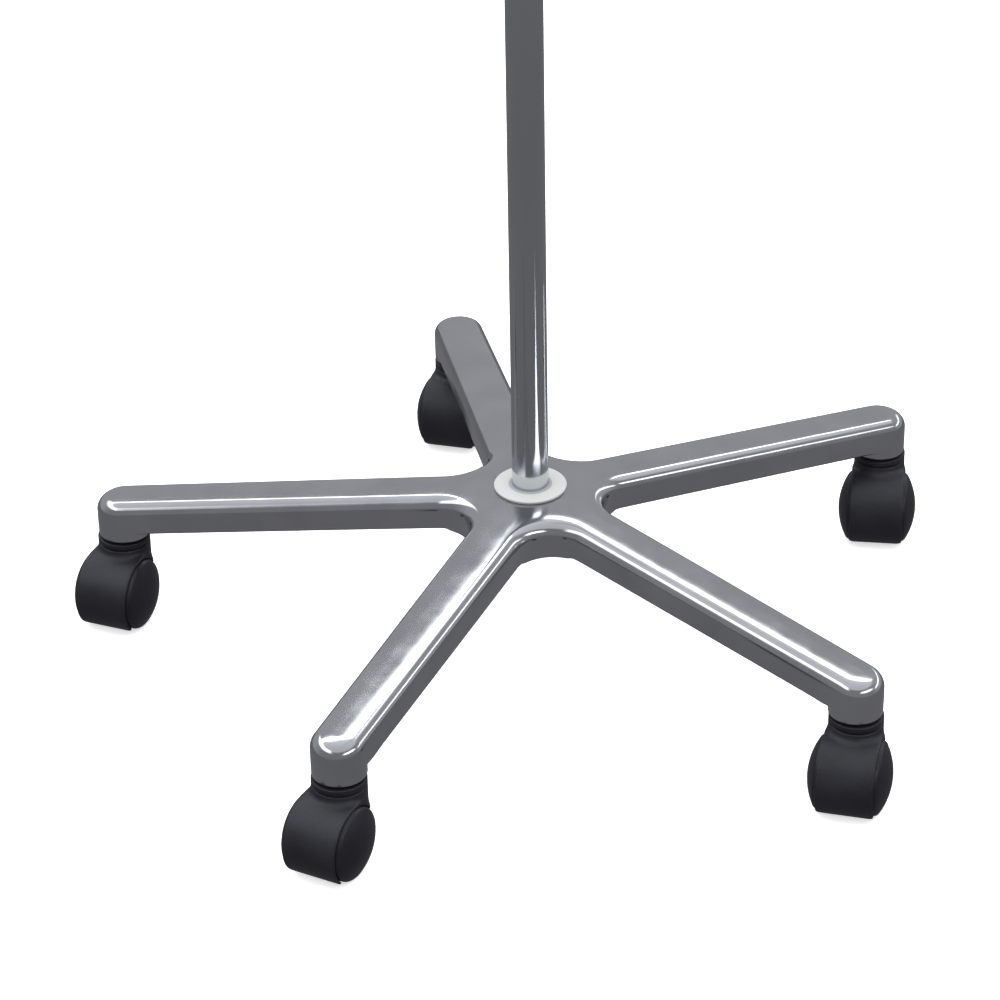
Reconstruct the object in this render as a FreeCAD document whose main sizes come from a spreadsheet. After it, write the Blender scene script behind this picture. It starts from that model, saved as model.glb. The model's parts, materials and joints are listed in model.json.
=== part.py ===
import FreeCAD, Part
import math
import os

import Sketcher
from FreeCAD import Placement, Rotation, Vector

# IV pole on a five-arm base with hooded twin-wheel casters.
# Millimetres, +Z up, origin on the floor under the pole's axis.

DIMENSIONS = (
    # alias, value, meaning
    ("arm_count", 5, "arms on the base"),
    ("first_arm_angle", 18, "direction of arm 1 from +X, degrees"),
    ("caster_circle", 288.2, "radius of the circle through the caster stems"),
    ("arm_root_half", 19.7, "arm half width at the hub axis"),
    ("arm_tip_half", 18, "arm half width at the tip"),
    ("tip_overhang", 17.2, "arm end beyond the stem axis"),
    ("tip_corner", 17, "plan corner radius of the arm end"),
    ("web_fillet", 26, "plan radius between neighbouring arms"),
    ("shoulder_fillet", 8, "rounding of the arm's top edges"),
    ("hub_top", 118.5, "height of the hub's flat top"),
    ("hub_flat", 30, "radius of the hub's flat top"),
    ("tip_top", 93.1, "height of the arm's top at the tip"),
    ("under_root", 92, "height of the arm's underside beside the hub"),
    ("under_tip", 72.8, "height of the arm's underside at the boss"),
    ("skirt_bottom", 89.5, "height of the hub skirt's lower edge"),
    ("skirt_radius", 57, "radius of the hub skirt"),
    ("skirt_slope", 3, "run of the skirt's outer slope"),
    ("boss_bottom", 64.3, "height of the caster boss's lower face"),
    ("boss_inset", 18, "boss reach inwards of the stem axis"),
    ("boss_corner", 11, "rounding of the boss's inner corners"),
    ("cast_wall", 4.5, "wall over the hollows under the arms"),
    ("hollow_width", 28, "width of the hollows under the arms"),
    ("hollow_start", 66, "radius where the arm hollow starts"),
    ("hollow_end", 262, "radius where the arm hollow ends"),
    ("rib", 3, "thickness of the cross ribs in an arm"),
    ("core_radius", 19, "radius of the hub's inner boss"),
    ("core_bottom", 80.5, "height of the inner boss's lower face"),
    ("recess_radius", 47, "radius of the hub's underside recess"),
    ("recess_top", 110.5, "height of the hub recess's roof"),
    ("pole_seat", 96.5, "height of the pole's foot"),
    ("bolt_web", 91.5, "height of the face under the bolt's washer"),
    ("head_bore", 10.5, "radius of the bolt head's recess"),
    ("bevel", 1, "usual bevel on a turned or moulded edge"),
    ("bolt_play", 0.3, "radial gap of a bolt in its through hole"),
    ("fit", 0.02, "radial gap of a pressed or screwed fit"),
    ("run", 0.05, "radial gap of a running fit"),
    ("pole_radius", 12.5, "outer radius of the lower pole"),
    ("pole_wall", 1.5, "wall of the lower pole"),
    ("pole_top", 1024, "height of the lower pole's upper end"),
    ("plug_length", 25, "length of the plug in the pole's foot"),
    ("bolt_radius", 4, "radius of the base bolt"),
    ("bolt_length", 27, "length of the base bolt's shank"),
    ("bolt_head", 5.3, "height of the bolt's hexagon head"),
    ("bolt_flats", 13, "size across the bolt head's flats"),
    ("washer_radius", 8, "outer radius of the flat washer"),
    ("washer_height", 1.6, "thickness of the flat washer"),
    ("spring_radius", 7, "outer radius of the split washer"),
    ("spring_height", 2, "thickness of the split washer"),
    ("ring_gap", 1.2, "gap of the split washer and grip rings"),
    ("collar_flange", 25, "radius of the hub collar's flange"),
    ("collar_height", 2, "thickness of the hub collar's flange"),
    ("collar_lip", 15.5, "radius of the collar's lip at its foot"),
    ("collar_lip_top", 13.4, "radius of the collar's lip at its top"),
    ("collar_lip_height", 1, "height of the collar's lip"),
    ("clamp_radius", 18.5, "outer radius of the height clamp"),
    ("clamp_bottom", 996, "height of the clamp's lower end"),
    ("clamp_top", 1060, "height of the clamp's upper end"),
    ("clamp_round", 4, "rounding of the clamp's ends"),
    ("screw_height", 1037, "height of the lock screw's axis"),
    ("nose_radius", 9, "radius of the clamp's screw boss"),
    ("nose_reach", 27, "screw boss's end from the pole's axis"),
    ("screw_radius", 4, "radius of the lock screw"),
    ("screw_end", 48, "lock screw's outer end from the axis"),
    ("pad_length", 3, "length of the brass lock pad"),
    ("knob_radius", 19, "radius of the lock knob"),
    ("knob_start", 36, "knob's grip from the pole's axis"),
    ("knob_length", 18, "length of the knob's grip"),
    ("knob_neck", 9, "radius of the knob's neck"),
    ("knob_neck_length", 5, "length of the knob's neck"),
    ("lobe_count", 5, "lobes on the knob"),
    ("scallop_radius", 8, "radius of the hollows between lobes"),
    ("scallop_circle", 21.6, "distance of those hollows from the knob's axis"),
    ("lobe_round", 3, "rounding of the lobes' corners"),
    ("knob_round", 1.6, "rounding of the knob's grip"),
    ("bush_radius", 11.4, "outer radius of the clamp's bush"),
    ("bush_length", 14, "length of the clamp's bush"),
    ("bush_flange", 14.5, "radius of the clamp bush's flange"),
    ("bush_flange_height", 2, "thickness of the clamp bush's flange"),
    ("upper_radius", 9.5, "outer radius of the upper pole"),
    ("upper_wall", 1.2, "wall of the upper pole"),
    ("upper_foot", 160, "height of the upper pole's foot when lowered"),
    ("upper_top", 1192, "height of the upper pole's top when lowered"),
    ("guide_bore", 5, "radius of the hole through the guide bush"),
    ("guide_flange", 24, "length of the guide bush below the pole"),
    ("guide_spigot", 22, "length of the guide bush inside the pole"),
    ("upper_plug_length", 20, "length of the plug in the upper pole"),
    ("hub_radius", 17, "radius of the hook hub"),
    ("hub_below", 16, "hook hub's reach below the pole's top"),
    ("hub_above", 14, "hook hub's reach above the pole's top"),
    ("hub_round", 4, "rounding of the hook hub's upper edge"),
    ("hook_screw_radius", 3, "radius of the hook hub's screw"),
    ("hook_screw_length", 18, "length of the hook screw's shank"),
    ("hook_head_radius", 5.5, "radius of the hook screw's head"),
    ("hook_head_height", 3.2, "height of the hook screw's head"),
    ("hook_count", 4, "hooks"),
    ("hook_rod", 3, "radius of the hook's rod"),
    ("hook_start", 8, "hook's inner end from the axis"),
    ("hook_level", 7, "hook's axis above the pole's top"),
    ("hook_straight", 26, "end of the hook's level stretch from the axis"),
    ("hook_dip_radius", 16, "radius of the bend that leads down"),
    ("hook_dip_angle", 35, "slope of the hook's outer stretch, degrees"),
    ("hook_slope_length", 12, "length of the sloping stretch"),
    ("hook_bend_radius", 14, "radius of the bag's seat"),
    ("hook_tip_length", 26, "length of the upright tip"),
    ("wheel_radius", 25, "caster wheel radius and axle height"),
    ("trail", 16.2, "wheel axle behind the swivel axis"),
    ("wheel_inner", 6, "inner face of a wheel from the middle"),
    ("wheel_rim", 22, "outer edge of a wheel's rim from the middle"),
    ("wheel_dome", 27.7, "crown of a wheel's face from the middle"),
    ("wheel_bevel", 0.6, "bevel of the tread's inner edge"),
    ("wheel_shoulder", 4, "rounding between the tread and the outer face"),
    ("axle_radius", 3, "radius of the wheel axle"),
    ("axle_half", 18, "half length of the wheel axle"),
    ("hood_inner", 25.4, "inner radius of the hood's band"),
    ("hood_outer", 27.3, "outer radius of the hood's band"),
    ("hood_half", 19.3, "half width of the hood's band"),
    ("hood_bottom", 3, "height of the hood's lower edge"),
    ("hood_open_angle", 150, "end of the band on the leading side, degrees"),
    ("hood_web_half", 5.75, "half thickness of the hood's centre web"),
    ("hood_web_radius", 26.2, "radius of the hood's centre web"),
    ("hood_web_bottom", 5, "height of the centre web's lower edge"),
    ("hood_edge", 0.7, "rounding of the band's side edges"),
    ("neck_radius", 18.2, "radius of the hood's neck"),
    ("neck_top", 62.3, "height of the neck's upper face"),
    ("neck_groove", 57.3, "height of the groove round the neck"),
    ("neck_groove_height", 1.1, "height of that groove"),
    ("neck_groove_depth", 0.8, "depth of that groove"),
    ("stem_radius", 5.5, "radius of the stem in the arm's socket"),
    ("stem_top", 84, "height of the stem's upper end"),
    ("socket_top", 85.5, "height of the socket's roof"),
    ("journal_radius", 4, "radius of the stem in the hood"),
    ("journal_bottom", 38, "height of the stem's lower end"),
    ("stem_flange", 11, "radius of the stem's flange"),
    ("stem_flange_bottom", 60.75, "height of the flange's lower face"),
    ("ring_bottom", 76.5, "height of the grip ring's groove"),
    ("ring_height", 2, "height of the grip ring's groove"),
    ("ring_depth", 0.9, "depth of the grip ring's groove"),
)

# Direction in which each caster trails, degrees from +X.
CASTER_HEADINGS = (252, 245, 238, 232, 245)

SPARE = 10  # how far a cutting shape reaches past the material
NEAR = 1e-3  # how close a point must be to count as lying on a surface

doc = FreeCAD.newDocument("iv_pole")
sheet = doc.addObject("Spreadsheet::Sheet", "Dimensions")


class Size:
    """A length or angle: its value, and the expression over the sheet's cells that gives it."""

    def __init__(self, value, text):
        self.value = float(value)
        self.text = text

    def _join(self, other, sign, value):
        return Size(value, f"({self.text} {sign} {as_size(other).text})")

    def __add__(self, other):
        return self._join(other, "+", self.value + as_size(other).value)

    def __sub__(self, other):
        return self._join(other, "-", self.value - as_size(other).value)

    def __mul__(self, other):
        return self._join(other, "*", self.value * as_size(other).value)

    def __truediv__(self, other):
        return self._join(other, "/", self.value / as_size(other).value)

    def __neg__(self):
        return Size(-self.value, f"(0 - {self.text})")


def as_size(number):
    return number if isinstance(number, Size) else Size(number, str(number))


def fill_sheet():
    """Writes each driving dimension to the sheet and returns them by name."""
    sizes = {}
    for row, (alias, value, meaning) in enumerate(DIMENSIONS, start=1):
        sheet.set(f"A{row}", meaning)
        sheet.set(f"B{row}", str(value))
        sheet.setAlias(f"B{row}", alias)
        sizes[alias] = Size(value, f"Dimensions.{alias}")
    doc.recompute()
    return sizes


D = fill_sheet()
ZERO = as_size(0)


# ---------------------------------------------------------------- building blocks


def new_body(label):
    body = doc.addObject("PartDesign::Body", label)
    body.Label = label
    return body


def bind(target, prop, size):
    target.setExpression(prop, as_size(size).text)


def new_sketch(body, name, role="XY_Plane", offset=None):
    sketch = body.newObject("Sketcher::SketchObject", name)
    plane = next(f for f in body.Origin.OriginFeatures if f.Role == role)
    sketch.AttachmentSupport = [(plane, "")]
    sketch.MapMode = "FlatFace"
    if offset is not None:
        bind(sketch, "AttachmentOffset.Base.z", offset)
    return sketch


def hold(sketch, kind, *places_and_size):
    """Adds a dimension to the sketch and binds it to the sheet."""
    *places, size = places_and_size
    size = as_size(size)
    index = sketch.addConstraint(Sketcher.Constraint(kind, *places, size.value))
    sketch.setExpression(f"Constraints[{index}]", size.text)


def pin_point(sketch, geometry, point, across, up):
    """Fixes one point of the sketch by its distances from the origin."""
    hold(sketch, "DistanceX", -1, 1, geometry, point, across)
    hold(sketch, "DistanceY", -1, 1, geometry, point, up)


def draw_outline(sketch, corners, domes=()):
    """A closed outline. Sides whose index is in domes are arcs with their centre on the upright axis."""
    corners = [(as_size(a), as_size(b)) for a, b in corners]
    points = [Vector(a.value, b.value, 0) for a, b in corners]
    first = sketch.GeometryCount
    for i, start in enumerate(points):
        end = points[(i + 1) % len(points)]
        side = dome_arc(start, end) if i in domes else Part.LineSegment(start, end)
        sketch.addGeometry(side, False)
    for i in range(len(points)):
        following = first + (i + 1) % len(points)
        sketch.addConstraint(Sketcher.Constraint("Coincident", first + i, 2, following, 1))
    for i, (across, up) in enumerate(corners):
        pin_point(sketch, first + i, 1, across, up)
    for i in domes:
        sketch.addConstraint(Sketcher.Constraint("PointOnObject", first + i, 3, -2))


def dome_arc(start, end):
    """The anticlockwise arc from start to end whose centre is on the upright axis."""
    rise = end.y - start.y
    centre_up = (end.x**2 + end.y**2 - start.x**2 - start.y**2) / (2 * rise)
    centre = Vector(0, centre_up, 0)
    begin_angle = math.atan2(start.y - centre_up, start.x)
    end_angle = math.atan2(end.y - centre_up, end.x)
    circle = Part.Circle(centre, Vector(0, 0, 1), (start - centre).Length)
    return Part.ArcOfCircle(circle, begin_angle, end_angle)


def draw_circle(sketch, radius, across=ZERO, up=ZERO):
    radius, across, up = as_size(radius), as_size(across), as_size(up)
    centre = Vector(across.value, up.value, 0)
    index = sketch.addGeometry(Part.Circle(centre, Vector(0, 0, 1), radius.value), False)
    pin_point(sketch, index, 3, across, up)
    hold(sketch, "Radius", index, radius)


def add_pad(body, sketch, length, symmetric=False):
    pad = body.newObject("PartDesign::Pad", f"{sketch.Name}_pad")
    pad.Profile = sketch
    pad.SideType = "Symmetric" if symmetric else "One side"
    bind(pad, "Length", length)
    doc.recompute()
    return pad


def add_pocket(body, sketch, length, symmetric=False, reverse=False):
    """Cuts the sketch out of the body, and fails if nothing was cut."""
    before = body.Shape.Volume
    pocket = body.newObject("PartDesign::Pocket", f"{sketch.Name}_pocket")
    pocket.Profile = sketch
    pocket.SideType = "Symmetric" if symmetric else "One side"
    pocket.Reversed = reverse
    bind(pocket, "Length", length)
    doc.recompute()
    require_cut(body, before, pocket.Name)
    return pocket


def add_turned(body, sketch, kind="Revolution"):
    """Turns the sketch once round its vertical axis, as material or as a cut."""
    before = body.Shape.Volume if kind == "Groove" else None
    turned = body.newObject(f"PartDesign::{kind}", f"{sketch.Name}_{kind.lower()}")
    turned.Profile = sketch
    turned.ReferenceAxis = (sketch, ["V_Axis"])
    turned.Angle = 360
    doc.recompute()
    if before is not None:
        require_cut(body, before, turned.Name)
    return turned


def require_cut(body, before, name):
    if not body.Shape.Volume < before:
        raise RuntimeError(f"{body.Label}: {name} cut nothing")


def add_polar(body, originals, count, role="Z_Axis"):
    pattern = body.newObject("PartDesign::PolarPattern", f"{originals[0].Name}_polar")
    pattern.Originals = originals
    axis = next(f for f in body.Origin.OriginFeatures if f.Role == role)
    pattern.Axis = (axis, [""])
    pattern.Angle = 360
    bind(pattern, "Occurrences", count)
    body.Tip = pattern
    doc.recompute()
    return pattern


def add_fillet(body, name, radius, wanted, kind="Fillet"):
    """Rounds or bevels the edges of the body for which wanted(edge) is true."""
    tip = body.Tip
    names = [f"Edge{i}" for i, edge in enumerate(tip.Shape.Edges, start=1) if wanted(edge)]
    if not names:
        raise RuntimeError(f"{body.Label}: no edge for {name}")
    feature = body.newObject(f"PartDesign::{kind}", name)
    feature.Base = (tip, names)
    bind(feature, "Radius" if kind == "Fillet" else "Size", radius)
    doc.recompute()
    return feature


def place(body, x=0.0, y=0.0, z=0.0, turn=0.0, flip=False):
    """Puts the body at (x, y, z), turned about Z, and first turned over about X if flip is set."""
    rotation = Rotation(Vector(0, 0, 1), turn)
    if flip:
        rotation = rotation.multiply(Rotation(Vector(1, 0, 0), 180))
    body.Placement = Placement(Vector(x, y, z), rotation)


def turned_body(label, corners, domes=()):
    """A body made in one turn from the outline (radius, height)."""
    body = new_body(label)
    sketch = new_sketch(body, f"{label}_outline", "XZ_Plane")
    draw_outline(sketch, corners, domes)
    add_turned(body, sketch)
    return body


def tube_corners(inner, outer, low, high):
    return [(inner, low), (outer, low), (outer, high), (inner, high)]


# ---------------------------------------------------------------- edge tests


def is_upright(edge):
    low, high = edge.Vertexes[0].Point, edge.Vertexes[-1].Point
    return isinstance(edge.Curve, Part.Line) and math.hypot(high.x - low.x, high.y - low.y) < NEAR


def edge_middle(edge):
    return edge.valueAt((edge.FirstParameter + edge.LastParameter) / 2)


def reach(point):
    """Distance from the Z axis."""
    return math.hypot(point.x, point.y)


# ---------------------------------------------------------------- base


def arm_direction(index):
    return math.radians(D["first_arm_angle"].value + 360.0 / D["arm_count"].value * index)


def make_star_base():
    """The casting: an arm and its copies, then the roof and the underside turned off it."""
    body = new_body("star_base")
    arm = new_sketch(body, "arm", offset=D["boss_bottom"] - 2)
    tip = D["caster_circle"] + D["tip_overhang"]
    root, end = D["arm_root_half"], D["arm_tip_half"]
    draw_outline(arm, [(-root, 0), (root, 0), (end, tip), (-end, tip)])
    pad = add_pad(body, arm, D["hub_top"] - D["boss_bottom"] + 4)
    add_polar(body, [pad], D["arm_count"])
    middle = D["caster_circle"].value / 2

    def at_tip(edge):
        return is_upright(edge) and reach(edge_middle(edge)) > middle

    def at_web(edge):
        return is_upright(edge) and reach(edge_middle(edge)) < middle

    add_fillet(body, "arm_ends", D["tip_corner"], at_tip)
    add_fillet(body, "arm_webs", D["web_fillet"], at_web)
    cut_underside(body, tip)
    round_bosses(body)
    cut_roof(body, tip)
    round_shoulders(body)
    hollow_arms(body)
    hollow_hub(body)
    place(body)
    return body


def cut_underside(body, tip):
    """Turns the underside: hub boss, skirt, sloping arm, and the caster boss at the end."""
    under = new_sketch(body, "underside", "XZ_Plane")
    skirt_end = D["skirt_radius"] + D["skirt_slope"]
    boss = D["caster_circle"] - D["boss_inset"]
    floor = D["boss_bottom"] - SPARE
    outside = tip + SPARE
    corners = [
        (0, floor),
        (outside, floor),
        (outside, D["boss_bottom"]),
        (boss, D["boss_bottom"]),
        (boss, D["under_tip"]),
        (skirt_end, D["under_root"]),
        (D["skirt_radius"], D["skirt_bottom"]),
        (D["core_radius"], D["skirt_bottom"]),
        (D["core_radius"], D["core_bottom"]),
        (0, D["core_bottom"]),
    ]
    draw_outline(under, corners)
    add_turned(body, under, "Groove")


def cut_roof(body, tip):
    roof = new_sketch(body, "roof", "XZ_Plane")
    ceiling = D["hub_top"] + SPARE
    outside = tip + SPARE
    corners = [
        (0, D["hub_top"]),
        (D["hub_flat"], D["hub_top"]),
        (outside, D["tip_top"] - roof_fall() * SPARE),
        (outside, ceiling),
        (0, ceiling),
    ]
    draw_outline(roof, corners)
    add_turned(body, roof, "Groove")


def round_bosses(body):
    boss_face = D["caster_circle"].value - D["boss_inset"].value
    low, high = D["boss_bottom"].value, D["under_tip"].value

    def inner_corner(edge):
        middle = edge_middle(edge)
        return is_upright(edge) and low < middle.z < high and reach(middle) < boss_face + NEAR

    add_fillet(body, "boss_corners", D["boss_corner"], inner_corner)


def roof_fall():
    """Drop of the arm's top for each millimetre outwards."""
    tip = D["caster_circle"] + D["tip_overhang"]
    return (D["hub_top"] - D["tip_top"]) / (tip - D["hub_flat"])


def round_shoulders(body):
    """Rounds the edges between the sloping roof and the sides."""
    fall, top, flat = roof_fall().value, D["hub_top"].value, D["hub_flat"].value

    def shoulder(edge):
        middle = edge_middle(edge)
        beyond = reach(middle) - flat
        return beyond > SPARE and abs(top - fall * beyond - middle.z) < NEAR

    add_fillet(body, "shoulders", D["shoulder_fillet"], shoulder)


def hollow_arms(body):
    """Three pockets under each arm with ribs between them, and the socket for the stem."""
    socket = new_sketch(body, "socket", offset=D["boss_bottom"])
    draw_circle(socket, D["stem_radius"] + D["run"], ZERO, D["caster_circle"])
    holes = add_pocket(body, socket, D["socket_top"] - D["boss_bottom"], reverse=True)
    fall = roof_fall()
    bay = (D["hollow_end"] - D["hollow_start"] - D["rib"] * 2) / 3
    below = D["boss_bottom"] - SPARE
    hollow = new_sketch(body, "hollow", "YZ_Plane")
    for index in range(3):
        start = D["hollow_start"] + (bay + D["rib"]) * index
        end = start + bay
        roof = [D["hub_top"] - fall * (radius - D["hub_flat"]) - D["cast_wall"] for radius in (start, end)]
        draw_outline(hollow, [(start, below), (end, below), (end, roof[1]), (start, roof[0])])
    pockets = add_pocket(body, hollow, D["hollow_width"], symmetric=True)
    add_polar(body, [holes, pockets], D["arm_count"])


def hollow_hub(body):
    """Pole bore from above; bolt hole, head recess and weight-saving recess from below."""
    bore = new_sketch(body, "pole_bore", offset=D["pole_seat"])
    draw_circle(bore, D["pole_radius"] + D["fit"])
    add_pocket(body, bore, D["hub_top"] - D["pole_seat"] + SPARE, reverse=True)
    hole = new_sketch(body, "bolt_hole", offset=D["core_bottom"])
    draw_circle(hole, D["bolt_radius"] + D["bolt_play"])
    add_pocket(body, hole, D["pole_seat"] - D["core_bottom"] + SPARE, reverse=True)
    head = new_sketch(body, "head_recess", offset=D["core_bottom"])
    draw_circle(head, D["head_bore"])
    add_pocket(body, head, D["bolt_web"] - D["core_bottom"], reverse=True)
    recess = new_sketch(body, "hub_recess", offset=D["skirt_bottom"])
    draw_circle(recess, D["recess_radius"])
    draw_circle(recess, D["core_radius"])
    add_pocket(body, recess, D["recess_top"] - D["skirt_bottom"], reverse=True)


def make_hub_collar():
    top = D["hub_top"] + D["collar_height"]
    bore = D["pole_radius"] + D["run"]
    corners = [
        (bore, D["hub_top"]),
        (D["collar_flange"], D["hub_top"]),
        (D["collar_flange"], top - D["bevel"]),
        (D["collar_flange"] - D["bevel"], top),
        (D["collar_lip"], top),
        (D["collar_lip_top"], top + D["collar_lip_height"]),
        (bore, top + D["collar_lip_height"]),
    ]
    return turned_body("hub_collar", corners)


def make_lower_pole():
    bore = D["pole_radius"] - D["pole_wall"]
    return turned_body("lower_pole", tube_corners(bore, D["pole_radius"], D["pole_seat"], D["pole_top"]))


def make_pole_plug():
    outer = D["pole_radius"] - D["pole_wall"] - D["fit"]
    thread = D["bolt_radius"] + D["fit"]
    top = D["pole_seat"] + D["plug_length"]
    return turned_body("pole_plug", tube_corners(thread, outer, D["pole_seat"], top))


def make_washer(label, outer, low, height):
    body = new_body(label)
    ring = new_sketch(body, f"{label}_ring", offset=low)
    draw_circle(ring, outer)
    draw_circle(ring, D["bolt_radius"] + D["bolt_play"])
    add_pad(body, ring, height)
    return body


def make_split_washer(low):
    body = make_washer("lock_washer", D["spring_radius"], low, D["spring_height"])
    cut_split(body, "lock_washer", low, D["spring_height"])
    return body


def cut_split(body, label, low, height):
    """Opens a ring with one narrow gap on its +X side."""
    gap = new_sketch(body, f"{label}_gap", offset=low - D["bevel"])
    half, far = D["ring_gap"] / 2, D["washer_radius"] + SPARE
    draw_outline(gap, [(0, -half), (far, -half), (far, half), (0, half)])
    add_pocket(body, gap, height + D["bevel"] * 2, reverse=True)


def make_base_bolt():
    """Hexagon-headed bolt, head down, its shank up into the pole's plug."""
    body = new_body("base_bolt")
    under_head = D["bolt_web"] - D["washer_height"] - D["spring_height"]
    head = new_sketch(body, "bolt_head_outline", offset=under_head - D["bolt_head"])
    corner = D["bolt_flats"] / 2 / math.cos(math.radians(30))
    corners = [(corner * math.cos(k * math.pi / 3), corner * math.sin(k * math.pi / 3)) for k in range(6)]
    draw_outline(head, corners)
    add_pad(body, head, D["bolt_head"])
    shank = new_sketch(body, "bolt_shank", offset=under_head)
    draw_circle(shank, D["bolt_radius"])
    add_pad(body, shank, D["bolt_length"])
    top = (under_head + D["bolt_length"]).value
    add_fillet(body, "bolt_point", D["bevel"], lambda e: abs(edge_middle(e).z - top) < NEAR, "Chamfer")
    return body


# ---------------------------------------------------------------- casters


def caster_spot(index):
    angle = arm_direction(index)
    radius = D["caster_circle"].value
    return radius * math.cos(angle), radius * math.sin(angle)


def make_stem(label):
    """Steel pin: journal in the hood, flange under the boss, grooved shank in the arm's socket."""
    groove = D["stem_radius"] - D["ring_depth"]
    corners = [
        (0, D["journal_bottom"]),
        (D["journal_radius"] - D["bevel"], D["journal_bottom"]),
        (D["journal_radius"], D["journal_bottom"] + D["bevel"]),
        (D["journal_radius"], D["stem_flange_bottom"]),
        (D["stem_flange"], D["stem_flange_bottom"]),
        (D["stem_flange"], D["boss_bottom"] - D["fit"]),
        (D["stem_radius"], D["boss_bottom"] - D["fit"]),
        (D["stem_radius"], D["ring_bottom"]),
        (groove, D["ring_bottom"]),
        (groove, D["ring_bottom"] + D["ring_height"]),
        (D["stem_radius"], D["ring_bottom"] + D["ring_height"]),
        (D["stem_radius"], D["stem_top"] - D["bevel"]),
        (D["stem_radius"] - D["bevel"], D["stem_top"]),
        (0, D["stem_top"]),
    ]
    return turned_body(label, corners)


def make_grip_ring(label):
    inner = D["stem_radius"] - D["ring_depth"] + D["fit"]
    outer = D["stem_radius"] + D["run"] - D["fit"]
    low = D["ring_bottom"] + D["fit"]
    height = D["ring_height"] - D["fit"] * 2
    body = turned_body(label, tube_corners(inner, outer, low, low + height))
    cut_split(body, label, low, height)
    return body


def make_hood(label):
    """Moulded hood: neck round the stem, curved band over the wheels, web between them."""
    body = new_body(label)
    centre = (D["trail"], D["wheel_radius"])
    band = new_sketch(body, f"{label}_band", "XZ_Plane")
    draw_circle(band, D["hood_outer"], *centre)
    add_pad(body, band, D["hood_half"] * 2, symmetric=True)
    neck = new_sketch(body, f"{label}_neck", offset=D["wheel_radius"] + D["axle_radius"])
    draw_circle(neck, D["neck_radius"])
    add_pad(body, neck, D["neck_top"] - D["wheel_radius"] - D["axle_radius"])
    open_hood(body, label)
    bay = new_sketch(body, f"{label}_bay", "XZ_Plane")
    draw_circle(bay, D["hood_inner"], *centre)
    add_pocket(body, bay, D["hood_half"] * 3, symmetric=True)
    add_web(body, label, centre)
    bore_hood(body, label, centre)
    groove_neck(body, label)
    round_band(body)
    return body


def round_band(body):
    """Softens the band's outer side edges."""
    half, band = D["hood_half"].value, D["hood_outer"].value
    axle_x, axle_z = D["trail"].value, D["wheel_radius"].value

    def side_edge(edge):
        point = edge_middle(edge)
        on_band = abs(math.hypot(point.x - axle_x, point.z - axle_z) - band) < NEAR
        return on_band and abs(abs(point.y) - half) < NEAR

    add_fillet(body, f"{body.Label}_edges", D["hood_edge"], side_edge)


def open_hood(body, label):
    """Cuts the band away below its lower edge and round the leading side."""
    opening = new_sketch(body, f"{label}_opening", "XZ_Plane")
    slope = math.radians(180 - D["hood_open_angle"].value)
    far = D["trail"] + D["hood_outer"] + SPARE
    corners = [
        (-far, -far),
        (far, -far),
        (far, D["hood_bottom"]),
        (D["trail"], D["hood_bottom"]),
        (D["trail"], D["wheel_radius"]),
        (-far, D["wheel_radius"] + (D["trail"] + far) * math.tan(slope)),
    ]
    draw_outline(opening, corners)
    add_pocket(body, opening, D["hood_half"] * 3, symmetric=True)


def add_web(body, label, centre):
    web = new_sketch(body, f"{label}_web", "XZ_Plane")
    draw_circle(web, D["hood_web_radius"], *centre)
    add_pad(body, web, D["hood_web_half"] * 2, symmetric=True)
    foot = new_sketch(body, f"{label}_web_foot", "XZ_Plane")
    far, inside = D["neck_radius"] * 2, D["trail"] + SPARE
    top = D["hood_web_bottom"]
    draw_outline(foot, [(-far, -far), (inside, -far), (inside, top), (-far, top)])
    add_pocket(body, foot, D["hood_web_half"] * 3, symmetric=True)


def bore_hood(body, label, centre):
    """Holes for the axle and the stem, and the recess for the stem's flange."""
    axle = new_sketch(body, f"{label}_axle_hole", "XZ_Plane")
    draw_circle(axle, D["axle_radius"] + D["fit"], *centre)
    add_pocket(body, axle, D["hood_half"], symmetric=True)
    bottom = D["journal_bottom"] - D["bevel"]
    stem = new_sketch(body, f"{label}_stem_hole", offset=bottom)
    draw_circle(stem, D["journal_radius"] + D["run"])
    add_pocket(body, stem, D["neck_top"], reverse=True)
    recess_floor = D["stem_flange_bottom"] - D["run"]
    recess = new_sketch(body, f"{label}_flange_recess", offset=recess_floor)
    draw_circle(recess, D["stem_flange"] + D["run"] * 2)
    add_pocket(body, recess, SPARE, reverse=True)


def groove_neck(body, label):
    groove = new_sketch(body, f"{label}_groove", "XZ_Plane")
    inner = D["neck_radius"] - D["neck_groove_depth"]
    low, high = D["neck_groove"], D["neck_groove"] + D["neck_groove_height"]
    draw_outline(groove, tube_corners(inner, D["neck_radius"] + D["bevel"], low, high))
    add_turned(body, groove, "Groove")


def make_wheel(label):
    """One wheel of a pair, on the Y axis: flat tread, rounded shoulder, domed outer face."""
    body = new_body(label)
    outline = new_sketch(body, f"{label}_outline")
    radius, bevel = D["wheel_radius"], D["wheel_bevel"]
    bore = D["axle_radius"] + D["run"]
    blind = D["axle_half"] + D["run"] * 4
    corners = [
        (0, blind),
        (bore, blind),
        (bore, D["wheel_inner"]),
        (radius - bevel, D["wheel_inner"]),
        (radius, D["wheel_inner"] + bevel),
        (radius, D["wheel_rim"]),
        (0, D["wheel_dome"]),
    ]
    draw_outline(outline, corners, domes=(5,))
    add_turned(body, outline)

    def outer_edge(edge):
        middle = edge_middle(edge)
        on_tread = abs(math.hypot(middle.x, middle.z) - radius.value) < NEAR
        return on_tread and abs(middle.y - D["wheel_rim"].value) < NEAR

    add_fillet(body, f"{label}_shoulder", D["wheel_shoulder"], outer_edge)
    return body


def make_axle(label):
    body = new_body(label)
    section = new_sketch(body, f"{label}_section", "XZ_Plane")
    draw_circle(section, D["axle_radius"])
    add_pad(body, section, D["axle_half"] * 2, symmetric=True)
    return body


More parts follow.
